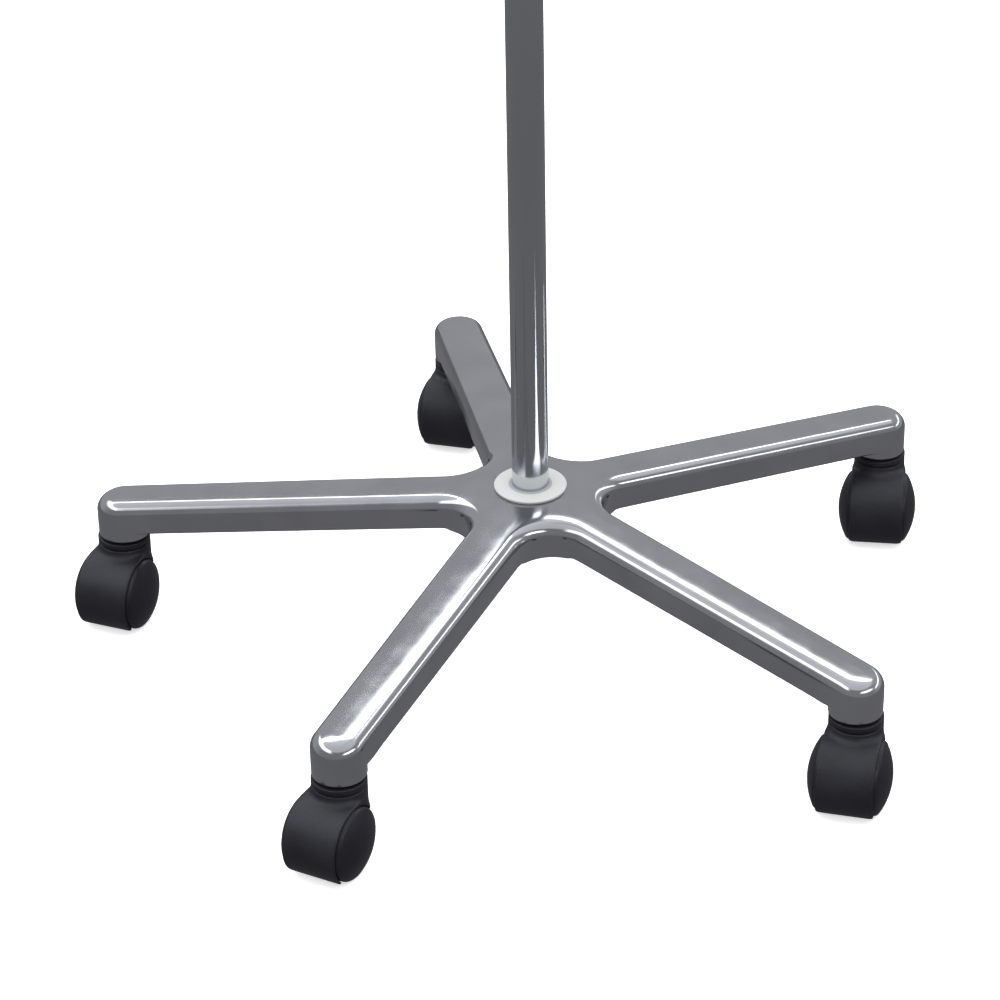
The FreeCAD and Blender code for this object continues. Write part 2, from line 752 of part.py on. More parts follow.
def make_caster(index):
    """The six pieces of one caster, on its arm and turned to its heading."""
    name = f"caster_{index + 1}"
    x, y = caster_spot(index)
    heading = CASTER_HEADINGS[index]
    turn = math.radians(heading)
    axle_x = x + D["trail"].value * math.cos(turn)
    axle_y = y + D["trail"].value * math.sin(turn)
    height = D["wheel_radius"].value
    stem, ring = make_stem(f"{name}_stem"), make_grip_ring(f"{name}_grip_ring")
    hood, axle = make_hood(f"{name}_hood"), make_axle(f"{name}_axle")
    left, right = make_wheel(f"{name}_wheel_left"), make_wheel(f"{name}_wheel_right")
    for piece in (stem, ring, hood):
        place(piece, x, y, 0, heading)
    place(axle, axle_x, axle_y, height, heading)
    place(left, axle_x, axle_y, height, heading)
    place(right, axle_x, axle_y, height, heading, flip=True)
    return [stem, ring, hood, axle, left, right]


# ---------------------------------------------------------------- height clamp


def make_clamp_collar():
    """Moulded clamp over the lower pole's end, with a boss for the lock screw towards -Y."""
    clear = D["upper_radius"] + D["run"] * 8
    pole = D["pole_radius"] + D["fit"]
    seat = D["clamp_top"] - D["bush_length"]
    corners = [
        (pole, D["clamp_bottom"]),
        (D["clamp_radius"], D["clamp_bottom"]),
        (D["clamp_radius"], D["clamp_top"]),
        (D["bush_radius"] + D["fit"], D["clamp_top"]),
        (D["bush_radius"] + D["fit"], seat),
        (clear, seat),
        (clear, D["pole_top"]),
        (pole, D["pole_top"]),
    ]
    body = turned_body("clamp_collar", corners)
    nose_start = D["pole_radius"] + D["pole_wall"]
    nose = new_sketch(body, "clamp_nose", "XZ_Plane", offset=nose_start)
    draw_circle(nose, D["nose_radius"], ZERO, D["screw_height"])
    add_pad(body, nose, D["nose_reach"] - nose_start)
    round_clamp(body)
    hole = new_sketch(body, "clamp_thread", "XZ_Plane")
    draw_circle(hole, D["screw_radius"] + D["fit"], ZERO, D["screw_height"])
    add_pocket(body, hole, D["nose_reach"] + SPARE, reverse=True)
    return body


def round_clamp(body):
    radius = D["clamp_radius"].value
    ends = (D["clamp_bottom"].value, D["clamp_top"].value)

    def outer_rim(edge):
        middle = edge_middle(edge)
        return min(abs(middle.z - z) for z in ends) < NEAR and abs(reach(middle) - radius) < NEAR

    add_fillet(body, "clamp_ends", D["clamp_round"], outer_rim)


def make_clamp_bush():
    inner = D["upper_radius"] + D["run"]
    top = D["clamp_top"] + D["fit"]
    corners = [
        (inner, D["clamp_top"] - D["bush_length"] + D["fit"]),
        (D["bush_radius"], D["clamp_top"] - D["bush_length"] + D["fit"]),
        (D["bush_radius"], top),
        (D["bush_flange"], top),
        (D["bush_flange"], top + D["bush_flange_height"] - D["bevel"]),
        (D["bush_flange"] - D["bevel"], top + D["bush_flange_height"]),
        (inner, top + D["bush_flange_height"]),
    ]
    return turned_body("clamp_bush", corners)


def rod_towards_front(label, radius, start, length):
    """A round piece along -Y at the lock screw's height."""
    body = new_body(label)
    section = new_sketch(body, f"{label}_section", "XZ_Plane", offset=start)
    draw_circle(section, radius, ZERO, D["screw_height"])
    add_pad(body, section, length)
    return body


def make_lock_pad():
    start = D["upper_radius"] + D["fit"]
    return rod_towards_front("lock_pad", D["screw_radius"] - D["run"], start, D["pad_length"])


def make_lock_screw():
    start = D["upper_radius"] + D["pad_length"] + D["fit"] * 2
    return rod_towards_front("lock_screw", D["screw_radius"], start, D["screw_end"] - start)


def make_lock_knob():
    """Hand knob: a neck, a grip with scallops between its lobes, and a blind hole for the screw."""
    neck_start = D["knob_start"] - D["knob_neck_length"]
    body = rod_towards_front("lock_knob", D["knob_neck"], neck_start, D["knob_neck_length"] + D["bevel"])
    grip = new_sketch(body, "knob_grip", "XZ_Plane", offset=D["knob_start"])
    draw_circle(grip, D["knob_radius"], ZERO, D["screw_height"])
    add_pad(body, grip, D["knob_length"])
    scallops = new_sketch(body, "knob_scallops", "XZ_Plane", offset=D["knob_start"])
    count = int(D["lobe_count"].value)
    for k in range(count):
        angle = 2 * math.pi * (k + 0.5) / count
        across = D["scallop_circle"] * math.sin(angle)
        up = D["screw_height"] + D["scallop_circle"] * math.cos(angle)
        draw_circle(scallops, D["scallop_radius"], across, up)
    add_pocket(body, scallops, D["knob_length"] + D["bevel"], reverse=True)
    round_knob(body)
    hole = new_sketch(body, "knob_hole", "XZ_Plane", offset=neck_start)
    draw_circle(hole, D["screw_radius"] + D["fit"], ZERO, D["screw_height"])
    add_pocket(body, hole, D["screw_end"] - neck_start + D["fit"], reverse=True)
    return body


def round_knob(body):
    """Rounds the corners of the lobes, then both faces of the grip."""
    height = D["screw_height"].value
    neck = D["knob_neck"].value + NEAR

    def outside_neck(edge):
        middle = edge_middle(edge)
        return math.hypot(middle.x, middle.z - height) > neck

    def lobe_corner(edge):
        return isinstance(edge.Curve, Part.Line) and outside_neck(edge)

    add_fillet(body, "knob_lobes", D["lobe_round"], lobe_corner)
    faces = (-D["knob_start"].value, -(D["knob_start"] + D["knob_length"]).value)

    def grip_edge(edge):
        return outside_neck(edge) and min(abs(edge_middle(edge).y - y) for y in faces) < NEAR

    add_fillet(body, "knob_edges", D["knob_round"], grip_edge)


# ---------------------------------------------------------------- upper pole and hooks


def make_upper_pole():
    bore = D["upper_radius"] - D["upper_wall"]
    return turned_body("upper_pole", tube_corners(bore, D["upper_radius"], D["upper_foot"], D["upper_top"]))


def make_pole_guide():
    """Plastic bush under the upper pole: runs in the lower pole, its spigot inside the upper one."""
    outer = D["pole_radius"] - D["pole_wall"] - D["run"]
    spigot = D["upper_radius"] - D["upper_wall"] - D["run"]
    foot = D["upper_foot"] - D["run"]
    corners = [
        (D["guide_bore"], foot - D["guide_flange"]),
        (outer - D["bevel"], foot - D["guide_flange"]),
        (outer, foot - D["guide_flange"] + D["bevel"]),
        (outer, foot),
        (spigot, foot),
        (spigot, foot + D["guide_spigot"] - D["bevel"]),
        (spigot - D["bevel"], foot + D["guide_spigot"]),
        (D["guide_bore"], foot + D["guide_spigot"]),
    ]
    return turned_body("pole_guide", corners)


def make_upper_plug():
    outer = D["upper_radius"] - D["upper_wall"] - D["fit"]
    thread = D["hook_screw_radius"] + D["fit"]
    low = D["upper_top"] - D["upper_plug_length"]
    return turned_body("upper_plug", tube_corners(thread, outer, low, D["upper_top"]))


def make_hook_hub():
    """Turned hub with a bore for the pole below, the screw's hole above and four holes for the rods."""
    low, top = D["upper_top"] - D["hub_below"], D["upper_top"] + D["hub_above"]
    bore = D["upper_radius"] + D["fit"]
    hole = D["hook_screw_radius"] + D["bolt_play"]
    corners = [
        (bore, low),
        (D["hub_radius"], low),
        (D["hub_radius"], top),
        (hole, top),
        (hole, D["upper_top"]),
        (bore, D["upper_top"]),
    ]
    body = turned_body("hook_hub", corners)
    radius = D["hub_radius"].value

    def rim(edge):
        middle = edge_middle(edge)
        return abs(middle.z - top.value) < NEAR and abs(reach(middle) - radius) < NEAR

    add_fillet(body, "hook_hub_round", D["hub_round"], rim)
    rod = new_sketch(body, "rod_hole", "YZ_Plane", offset=D["hook_start"] - D["fit"])
    draw_circle(rod, D["hook_rod"] + D["fit"], ZERO, D["upper_top"] + D["hook_level"])
    hole_cut = add_pocket(body, rod, D["hub_radius"], reverse=True)
    add_polar(body, [hole_cut], D["hook_count"])
    return body


def make_hook_screw():
    seat = D["upper_top"] + D["hub_above"]
    low = seat - D["hook_screw_length"] - D["hub_above"]
    head = D["hook_head_radius"]
    corners = [
        (0, low),
        (D["hook_screw_radius"], low),
        (D["hook_screw_radius"], seat),
        (head, seat),
        (head, seat + D["bevel"]),
        (0, seat + D["hook_head_height"]),
    ]
    return turned_body("hook_screw", corners, domes=(4,))


def make_hook(index):
    """Bent rod: level out of the hub, down a slope, round under the bag's loop, and up to its tip."""
    body = new_body(f"hook_{index + 1}")
    height = D["upper_top"] + D["hook_level"]
    section = new_sketch(body, f"{body.Name}_section", "YZ_Plane", offset=D["hook_start"])
    draw_circle(section, D["hook_rod"], ZERO, height)
    path = new_sketch(body, f"{body.Name}_path", "XZ_Plane")
    draw_hook_path(path, height)
    pipe = body.newObject("PartDesign::AdditivePipe", f"{body.Name}_pipe")
    pipe.Profile = section
    pipe.Spine = (path, [f"Edge{k}" for k in range(1, 6)])
    doc.recompute()
    top = max(v.Point.z for v in body.Shape.Vertexes)
    end_round = D["hook_rod"] - D["bolt_play"]
    add_fillet(body, f"{body.Name}_end", end_round, lambda e: abs(edge_middle(e).z - top) < NEAR)
    place(body, turn=360.0 / D["hook_count"].value * index)
    return body


def draw_hook_path(path, height):
    """Line, arc, line, arc, line, each tangent to the next."""
    slope = math.radians(D["hook_dip_angle"].value)
    dip, bend = D["hook_dip_radius"].value, D["hook_bend_radius"].value
    start = Vector(D["hook_start"].value, height.value, 0)
    level_end = Vector(D["hook_straight"].value, height.value, 0)
    dip_centre = level_end - Vector(0, dip, 0)
    dip_end = dip_centre + Vector(math.sin(slope), math.cos(slope), 0) * dip
    slope_end = dip_end + Vector(math.cos(slope), -math.sin(slope), 0) * D["hook_slope_length"].value
    bend_centre = slope_end + Vector(math.sin(slope), math.cos(slope), 0) * bend
    bend_end = bend_centre + Vector(bend, 0, 0)
    tip = bend_end + Vector(0, D["hook_tip_length"].value, 0)
    up = Vector(0, 0, 1)
    dip_arc = Part.ArcOfCircle(Part.Circle(dip_centre, up, dip), math.pi / 2 - slope, math.pi / 2)
    bend_arc = Part.ArcOfCircle(Part.Circle(bend_centre, up, bend), -math.pi / 2 - slope, 0)
    path.addGeometry(Part.LineSegment(start, level_end), False)
    path.addGeometry(dip_arc, False)
    path.addGeometry(Part.LineSegment(dip_end, slope_end), False)
    path.addGeometry(bend_arc, False)
    path.addGeometry(Part.LineSegment(bend_end, tip), False)
    joints = ((0, 2, 1, 2), (1, 1, 2, 1), (2, 2, 3, 1), (3, 2, 4, 1))
    for first, first_end, second, second_end in joints:
        path.addConstraint(Sketcher.Constraint("Tangent", first, first_end, second, second_end))
    pin_point(path, 0, 1, D["hook_start"], height)
    pin_point(path, 0, 2, D["hook_straight"], height)
    hold(path, "Radius", 1, D["hook_dip_radius"])
    hold(path, "Distance", 2, D["hook_slope_length"])
    hold(path, "Radius", 3, D["hook_bend_radius"])
    hold(path, "DistanceY", 4, 1, 4, 2, D["hook_tip_length"])
    path.addConstraint(Sketcher.Constraint("Vertical", 4))


# ---------------------------------------------------------------- all sub-parts


def make_everything():
    under_washer = D["bolt_web"] - D["washer_height"]
    pieces = [
        make_star_base(),
        make_hub_collar(),
        make_lower_pole(),
        make_pole_plug(),
        make_base_bolt(),
        make_washer("base_washer", D["washer_radius"], under_washer, D["washer_height"]),
        make_split_washer(under_washer - D["spring_height"]),
        make_clamp_collar(),
        make_clamp_bush(),
        make_lock_pad(),
        make_lock_screw(),
        make_lock_knob(),
        make_upper_pole(),
        make_pole_guide(),
        make_upper_plug(),
        make_hook_hub(),
        make_hook_screw(),
    ]
    for index in range(int(D["hook_count"].value)):
        pieces.append(make_hook(index))
    for index in range(int(D["arm_count"].value)):
        pieces.extend(make_caster(index))
    return pieces


def check_everything(pieces):
    """Stops before anything is written if an object failed or a sub-part isn't one sound solid."""
    for item in doc.Objects:
        if "Invalid" in item.State or "Error" in item.State:
            raise RuntimeError(f"{item.Label} did not build: {item.State}")
    for piece in pieces:
        shape = piece.Shape
        if shape.isNull() or not shape.isValid() or len(shape.Solids) != 1:
            raise RuntimeError(f"{piece.Label} is not one valid solid")


def write_everything(pieces):
    os.makedirs("parts", exist_ok=True)
    for piece in pieces:
        piece.Shape.exportStep(f"parts/{piece.Label}.step")


sub_parts = make_everything()
doc.recompute()
check_everything(sub_parts)
write_everything(sub_parts)
print(f"{len(sub_parts)} sub-parts written")
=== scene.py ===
import json
import math

import bmesh
import bpy
import numpy as np
from mathutils import Euler, Matrix, Vector


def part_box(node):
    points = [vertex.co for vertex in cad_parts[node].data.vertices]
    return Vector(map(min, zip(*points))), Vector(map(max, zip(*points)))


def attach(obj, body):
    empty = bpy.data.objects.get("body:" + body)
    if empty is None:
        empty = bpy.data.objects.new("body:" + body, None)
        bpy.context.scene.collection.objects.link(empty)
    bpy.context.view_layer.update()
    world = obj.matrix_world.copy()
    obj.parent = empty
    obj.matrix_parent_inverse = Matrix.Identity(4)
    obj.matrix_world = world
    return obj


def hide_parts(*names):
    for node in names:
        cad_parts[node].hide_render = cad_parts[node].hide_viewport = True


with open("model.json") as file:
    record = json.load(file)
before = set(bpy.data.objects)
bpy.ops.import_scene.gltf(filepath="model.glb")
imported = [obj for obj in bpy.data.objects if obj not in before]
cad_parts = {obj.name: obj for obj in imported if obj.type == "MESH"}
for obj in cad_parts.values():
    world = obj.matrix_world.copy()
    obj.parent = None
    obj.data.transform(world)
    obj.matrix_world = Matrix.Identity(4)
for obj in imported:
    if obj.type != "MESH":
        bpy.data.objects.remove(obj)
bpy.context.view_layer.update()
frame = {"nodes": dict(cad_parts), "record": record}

NODES = frame["nodes"]
SLOT_OF = {part["node"]: part["material_slot"] for part in frame["record"]["subparts"]}

MM = 0.001
CASTERS = [f"caster_{number}" for number in range(1, 6)]
ROUND_STEPS, FINE_STEPS = 96, 128    # quads round turned pieces, and round the most visible ones
WELD_GAP = 0.002


def box_mm(node):
    """Lowest and highest corner of a CAD node in millimetres."""
    low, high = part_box(node)
    return np.array(low) / MM, np.array(high) / MM


def middle_mm(node):
    low, high = box_mm(node)
    return (low + high) / 2


# ---------------------------------------------------------------- mesh helpers


def add_piece(name, vertices, faces, material, body, sharp_above=50.0):
    """A smooth-shaded piece in the row frame, from millimetres, riding on a CAD body."""
    mesh = bpy.data.meshes.new(name)
    mesh.from_pydata((np.asarray(vertices) * MM).tolist(), [], [tuple(face) for face in faces])
    mesh.validate()
    mesh.shade_smooth()
    mesh.set_sharp_from_angle(angle=math.radians(sharp_above))
    mesh.materials.append(material)
    piece = bpy.data.objects.new(name, mesh)
    bpy.context.scene.collection.objects.link(piece)
    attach(piece, body)
    return piece


def lathe(profile, segments=ROUND_STEPS):
    """Turns (radius, height) corners about an upright axis, with the material on the outline's left."""
    turns = np.linspace(0.0, 2 * math.pi, segments, endpoint=False)
    profile = np.asarray(profile, float)
    ring = np.stack([np.cos(turns), np.sin(turns)], -1)
    points = np.zeros((len(profile), segments, 3))
    points[:, :, :2] = profile[:, 0, None, None] * ring[None]
    points[:, :, 2] = profile[:, 1, None]
    faces = []
    for row in range(len(profile) - 1):
        for k in range(segments):
            after = (k + 1) % segments
            faces.append((row * segments + k, row * segments + after,
                          (row + 1) * segments + after, (row + 1) * segments + k))
    return points.reshape(-1, 3), faces


def arc(centre, radius, start, end, steps):
    """Points of a circular arc, angles in degrees."""
    angles = np.radians(np.linspace(start, end, steps))
    return [(centre[0] + radius * math.cos(a), centre[1] + radius * math.sin(a)) for a in angles]


def joined(*parts):
    """One vertex list and face list out of several."""
    vertices, faces = [], []
    for points, quads in parts:
        start = sum(len(v) for v in vertices)
        vertices.append(np.asarray(points))
        faces += [tuple(start + corner for corner in quad) for quad in quads]
    return np.concatenate(vertices), faces


def surface_net(field, low, high, step):
    """The surface where field is zero: one vertex per crossed cell, then pulled onto the surface."""
    axes = [np.arange(a, b + step, step) for a, b in zip(low, high)]
    grid = np.stack(np.meshgrid(*axes, indexing="ij"), -1)
    value = field(grid)
    inside = value < 0
    cells = tuple(size - 1 for size in value.shape)
    total, count, crossings = np.zeros((*cells, 3)), np.zeros(cells), []
    for axis in range(3):
        lower, upper = [slice(None)] * 3, [slice(None)] * 3
        lower[axis], upper[axis] = slice(None, -1), slice(1, None)
        lower, upper = tuple(lower), tuple(upper)
        crossed = inside[lower] != inside[upper]
        share = np.where(crossed, value[lower] / np.where(crossed, value[lower] - value[upper], 1.0), 0.0)
        points = grid[lower] + share[..., None] * np.eye(3)[axis] * step
        others = [k for k in range(3) if k != axis]
        for shift in ((0, 0), (0, 1), (1, 0), (1, 1)):
            window = [slice(None)] * 3
            for k, move in zip(others, shift):
                window[k] = slice(move, move + cells[k])
            window = tuple(window)
            total += points[window] * crossed[window][..., None]
            count += crossed[window]
        crossings.append((axis, others, crossed, inside[lower]))
    used = count > 0
    number = np.full(cells, -1)
    number[used] = np.arange(used.sum())
    vertices = total[used] / count[used][:, None]
    for _ in range(4):
        slope = gradient(field, vertices, step * 0.1)
        vertices -= field(vertices)[:, None] * slope / np.maximum((slope**2).sum(-1), 1e-6)[:, None]
    return vertices, net_faces(number, crossings)


def gradient(field, points, gap):
    return np.stack([(field(points + gap * e) - field(points - gap * e)) / (2 * gap) for e in np.eye(3)], -1)


def net_faces(number, crossings):
    """One quad round every crossed grid edge, facing out of the material."""
    faces = []
    for axis, others, crossed, solid_below in crossings:
        spots = np.argwhere(crossed)
        inner = np.all([(spots[:, k] > 0) & (spots[:, k] < number.shape[k]) for k in others], axis=0)
        spots = spots[inner]
        corners = []
        for back in ((1, 1), (0, 1), (0, 0), (1, 0)):
            cell = spots.copy()
            for k, move in zip(others, back):
                cell[:, k] -= move
            corners.append(number[tuple(cell.T)])
        quads = np.stack(corners, -1)
        flip = solid_below[tuple(spots.T)] == (axis == 1)
        quads[flip] = quads[flip][:, ::-1]
        faces.append(quads)
    return np.concatenate(faces).tolist()


def smooth_union(first, second, width):
    share = np.clip(0.5 + 0.5 * (second - first) / width, 0.0, 1.0)
    return second + (first - second) * share - width * share * (1.0 - share)


def smooth_cut(solid, tool, width):
    return -smooth_union(-solid, tool, width)


def round_cylinder(across, along, radius, half, edge):
    """Distance to a cylinder with rounded edges, from the distances across and along its axis."""
    wide, long = across - radius + edge, np.abs(along) - half + edge
    outside = np.hypot(np.maximum(wide, 0.0), np.maximum(long, 0.0))
    return outside + np.minimum(np.maximum(wide, long), 0.0) - edge


# ---------------------------------------------------------------- star base

STAR_LOW, STAR_HIGH = box_mm("star_base")
BOSS_BOTTOM, HUB_TOP, ARM_END = STAR_LOW[2], STAR_HIGH[2], STAR_HIGH[1]
STEMS = [middle_mm(f"{caster}_stem")[:2] for caster in CASTERS]
STEM_REACH = float(np.hypot(*STEMS[0]))
POLE_RADIUS = box_mm("lower_pole")[1][0]
ROOT_HALF, TIP_HALF = 19.7, 18.1     # arm half width at the hub's axis and at its end
WEB_RADIUS = 26.0                    # plan radius between neighbouring arms
SHOULDER = 7.5                       # rounding of the arm's upper edges
CROWN, CROWN_REACH = 2.0, 16.0       # crosswise rise of the arm's top, and how far in from the side it ends
ROOF_FALL, ROOF_FLAT, ROOF_EASE = 0.0932, 30.0, 10.0
UNDER_ROOT, UNDER_TIP = HUB_TOP - 26.5, HUB_TOP - 45.7     # underside beside the hub and at the boss
UNDER_START, UNDER_END = 60.0, 270.2
SKIRT, SKIRT_RADIUS, RECESS = HUB_TOP - 27.5, 57.0, 49.0
LOWER_ROUND = 1.6
RIM, CEILING = 4.4, 4.5              # wall beside and above the hollows under an arm
BAYS = ((66.0, 129.3), (132.3, 195.7), (198.7, 262.0))
BOSS_RADIUS, BOSS_EDGE = 18.1, 1.2
SOCKET_RADIUS, SOCKET_DEPTH = 5.6, 20.0
HALF_SECTOR = 36.0                   # degrees from an arm's middle to the middle of the web
WEB_MEETS, WEB_STEPS, ARM_STEPS = 63.0, 22, 44
POLE_SEAT, BOLT_WEB = HUB_TOP - 22.0, HUB_TOP - 27.0
CORE_FOOT, RECESS_TOP = HUB_TOP - 38.0, HUB_TOP - 8.0


def half_width(along):
    return ROOT_HALF + (TIP_HALF - ROOT_HALF) * along / ARM_END


def roof(radius):
    """Height of the casting's top along the arm's middle: flat under the collar, then an even slope."""
    beyond = radius - ROOF_FLAT
    return HUB_TOP - ROOF_FALL * 0.5 * (beyond + np.sqrt(beyond**2 + ROOF_EASE**2))


def underside(radius):
    slope = (UNDER_TIP - UNDER_ROOT) / (UNDER_END - UNDER_START)
    arm = UNDER_ROOT + slope * (np.minimum(radius, UNDER_END) - UNDER_START)
    share = np.clip((radius - SKIRT_RADIUS) / (UNDER_START - SKIRT_RADIUS), 0.0, 1.0)
    return SKIRT + (arm - SKIRT) * share


def half_arm_outline():
    """(point, inward direction, distance to the arm's middle, in a hollow) from the web to the arm's end."""
    up = WEB_RADIUS + half_width(WEB_MEETS)
    along = up / math.tan(math.radians(HALF_SECTOR))
    samples = []
    for angle in np.radians(np.linspace(180.0 + HALF_SECTOR, 270.0, WEB_STEPS)):
        inward = np.array([math.cos(angle), math.sin(angle)])
        point = np.array([along, up]) + WEB_RADIUS * inward
        samples.append((point, inward, -up / inward[1] - WEB_RADIUS, 0.0))
    tip = ARM_END - TIP_HALF
    stops = set(np.linspace(along, tip, ARM_STEPS)[1:])
    for start, end in BAYS:
        stops |= {start, start + 0.6, end - 0.6, end}
    for stop in sorted(stops):
        hollow = float(any(start + 0.5 < stop < end - 0.5 for start, end in BAYS))
        samples.append((np.array([stop, half_width(stop)]), np.array([0.0, -1.0]), half_width(stop), hollow))
    for angle in np.radians(np.linspace(90.0, 0.0, WEB_STEPS)[1:]):
        outward = np.array([math.cos(angle), math.sin(angle)])
        point = np.array([tip, 0.0]) + half_width(tip) * outward
        samples.append((point, -outward, half_width(tip), 0.0))
    return samples


def inner_end(point, inward, reach, radius):
    """Distance inwards at which the line meets the circle about the hub's axis, or the arm's middle."""
    toward = point @ inward
    inside = toward**2 - point @ point + radius**2
    if inside <= 0.0:
        return reach
    return min(reach, -toward - math.sqrt(inside))


def arm_section(point, inward, reach, hollow):
    """One cross-section of half an arm: from the middle over the top, down the side and back underneath."""
    def spot(depth, height):
        return (*(point + inward * depth), height)

    def top(depth):
        crown = CROWN * max(0.0, 1.0 - depth / CROWN_REACH) ** 2
        return roof(np.hypot(*(point + inward * depth))) - crown

    rows = []
    for depth in np.linspace(inner_end(point, inward, reach, POLE_RADIUS), SHOULDER, 10):
        rows.append(spot(depth, top(depth)))
    for angle in np.radians(np.linspace(0.0, 90.0, 12)[1:]):
        depth = SHOULDER * (1.0 - math.sin(angle))
        rows.append(spot(depth, top(depth) - SHOULDER * (1.0 - math.cos(angle))))
    radius = np.hypot(*point)
    low = underside(radius)
    lower_round = LOWER_ROUND * float(np.clip((UNDER_END + 6.0 - radius) / 10.0, 0.02, 1.0))
    shoulder_foot = rows[-1][2]
    for share in (0.35, 0.7):
        rows.append(spot(0.0, shoulder_foot + (low + lower_round - shoulder_foot) * share))
    for angle in np.radians(np.linspace(0.0, 90.0, 6)):
        rows.append(spot(lower_round * (1.0 - math.cos(angle)), low + lower_round * (1.0 - math.sin(angle))))
    end = inner_end(point, inward, reach, RECESS)
    rim = min(RIM, end)
    ceiling = roof(radius) - CEILING
    rows.append(spot(rim, low))
    for share in (0.03, 0.5, 1.0):
        depth = rim + (end - rim) * share
        flat = underside(np.hypot(*(point + inward * depth)))
        rows.append(spot(depth, flat + (ceiling - flat) * hollow))
    return rows


def star_mesh():
    half = np.array([arm_section(*sample) for sample in half_arm_outline()])
    samples, rows = half.shape[:2]
    number = np.arange(samples * rows).reshape(samples, rows)
    quads = np.stack([number[:-1, :-1], number[1:, :-1], number[1:, 1:], number[:-1, 1:]], -1).reshape(-1, 4)
    parts = []
    for stem in STEMS:
        cosine, sine = stem / STEM_REACH
        for side in (1.0, -1.0):
            along, across = half[..., 0].ravel(), half[..., 1].ravel() * side
            x, y = along * cosine - across * sine, along * sine + across * cosine
            points = np.stack([x, y, half[..., 2].ravel()], -1)
            parts.append((points, quads if side > 0 else quads[:, ::-1]))
        parts.append(boss_mesh(stem))
    parts.append(lathe(hub_core()))
    return joined(*parts)


def boss_mesh(stem):
    """Round boss under an arm's end, flush with it outside, with the stem's socket in its face."""
    cosine, sine = stem / STEM_REACH
    centre = ARM_END - BOSS_RADIUS
    turns = np.linspace(0.0, 2 * math.pi, ROUND_STEPS, endpoint=False)
    rings = [(BOSS_RADIUS, None)]
    rings += arc((BOSS_RADIUS - BOSS_EDGE, BOSS_BOTTOM + BOSS_EDGE), BOSS_EDGE, 0.0, -90.0, 5)
    socket_end = BOSS_BOTTOM + SOCKET_DEPTH
    rings += [(SOCKET_RADIUS, BOSS_BOTTOM), (SOCKET_RADIUS, socket_end), (0.0, socket_end)]
    points = []
    for radius, height in rings:
        for turn in turns:
            shift = centre if radius > SOCKET_RADIUS else STEM_REACH
            along, across = shift + radius * math.cos(turn), radius * math.sin(turn)
            z = underside(math.hypot(along, across)) if height is None else height
            points.append((along * cosine - across * sine, along * sine + across * cosine, z))
    faces = []
    for row in range(len(rings) - 1):
        near, far = row * ROUND_STEPS, (row + 1) * ROUND_STEPS
        for k in range(ROUND_STEPS):
            after = (k + 1) % ROUND_STEPS
            faces.append((near + k, far + k, far + after, near + after))
    return np.array(points), faces


def hub_core():
    """Pole seat, bolt hole, head recess, inner boss and the recess round it."""
    bolt, head, core, wall = 4.3, 10.5, 19.0, 47.0
    return [(POLE_RADIUS, HUB_TOP), (POLE_RADIUS, POLE_SEAT), (bolt, POLE_SEAT), (bolt, BOLT_WEB),
            (head, BOLT_WEB), (head, CORE_FOOT), (core, CORE_FOOT), (core, RECESS_TOP), (wall, RECESS_TOP),
            (wall, SKIRT), (RECESS, SKIRT)]


def weld(piece):
    """Joins vertices that coincide."""
    work = bmesh.new()
    work.from_mesh(piece.data)
    bmesh.ops.remove_doubles(work, verts=work.verts, dist=WELD_GAP * MM)
    work.to_mesh(piece.data)
    work.free()


def build_star(material):
    vertices, faces = star_mesh()
    piece = add_piece("base_casting", vertices, faces, material, "base", 40.0)
    weld(piece)
    piece.data.shade_smooth()
    piece.data.set_sharp_from_angle(angle=math.radians(40.0))
    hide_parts("star_base")


# ---------------------------------------------------------------- casters

AXLE_HEIGHT = middle_mm("caster_1_axle")[2]
TRAIL = float(np.hypot(*(middle_mm("caster_1_axle")[:2] - STEMS[0])))
HOOD_TOP = box_mm("caster_1_hood")[1][2]
WHEEL_RADIUS = AXLE_HEIGHT
BAND_OUTER, BAND_INNER = WHEEL_RADIUS + 2.1, WHEEL_RADIUS + 0.4
BAND_HALF, BAND_EDGE, BAND_FOOT = 19.3, 1.3, 3.0
WEB_HALF = 5.75
NECK_RADIUS, NECK_EDGE, NECK_BLEND = 18.2, 0.8, 5.5
REAR_RADIUS, PLAN_EDGE = 19.5, 1.2     # rounded plan behind the swivel axis
FOOT_FLAT, FOOT_RISE = 14.5, 4.0       # the band's lower edge rises toward its corners
RING_HEIGHT, RING_GAP = 4.2, 0.8
OPEN_SLOPE = math.tan(math.radians(30.0))
WHEEL_INNER, WHEEL_RIM, WHEEL_CROWN = 6.0, 22.0, 27.7   # from the fork's middle
WHEEL_SHOULDER, BORE_END = 4.0, 18.2


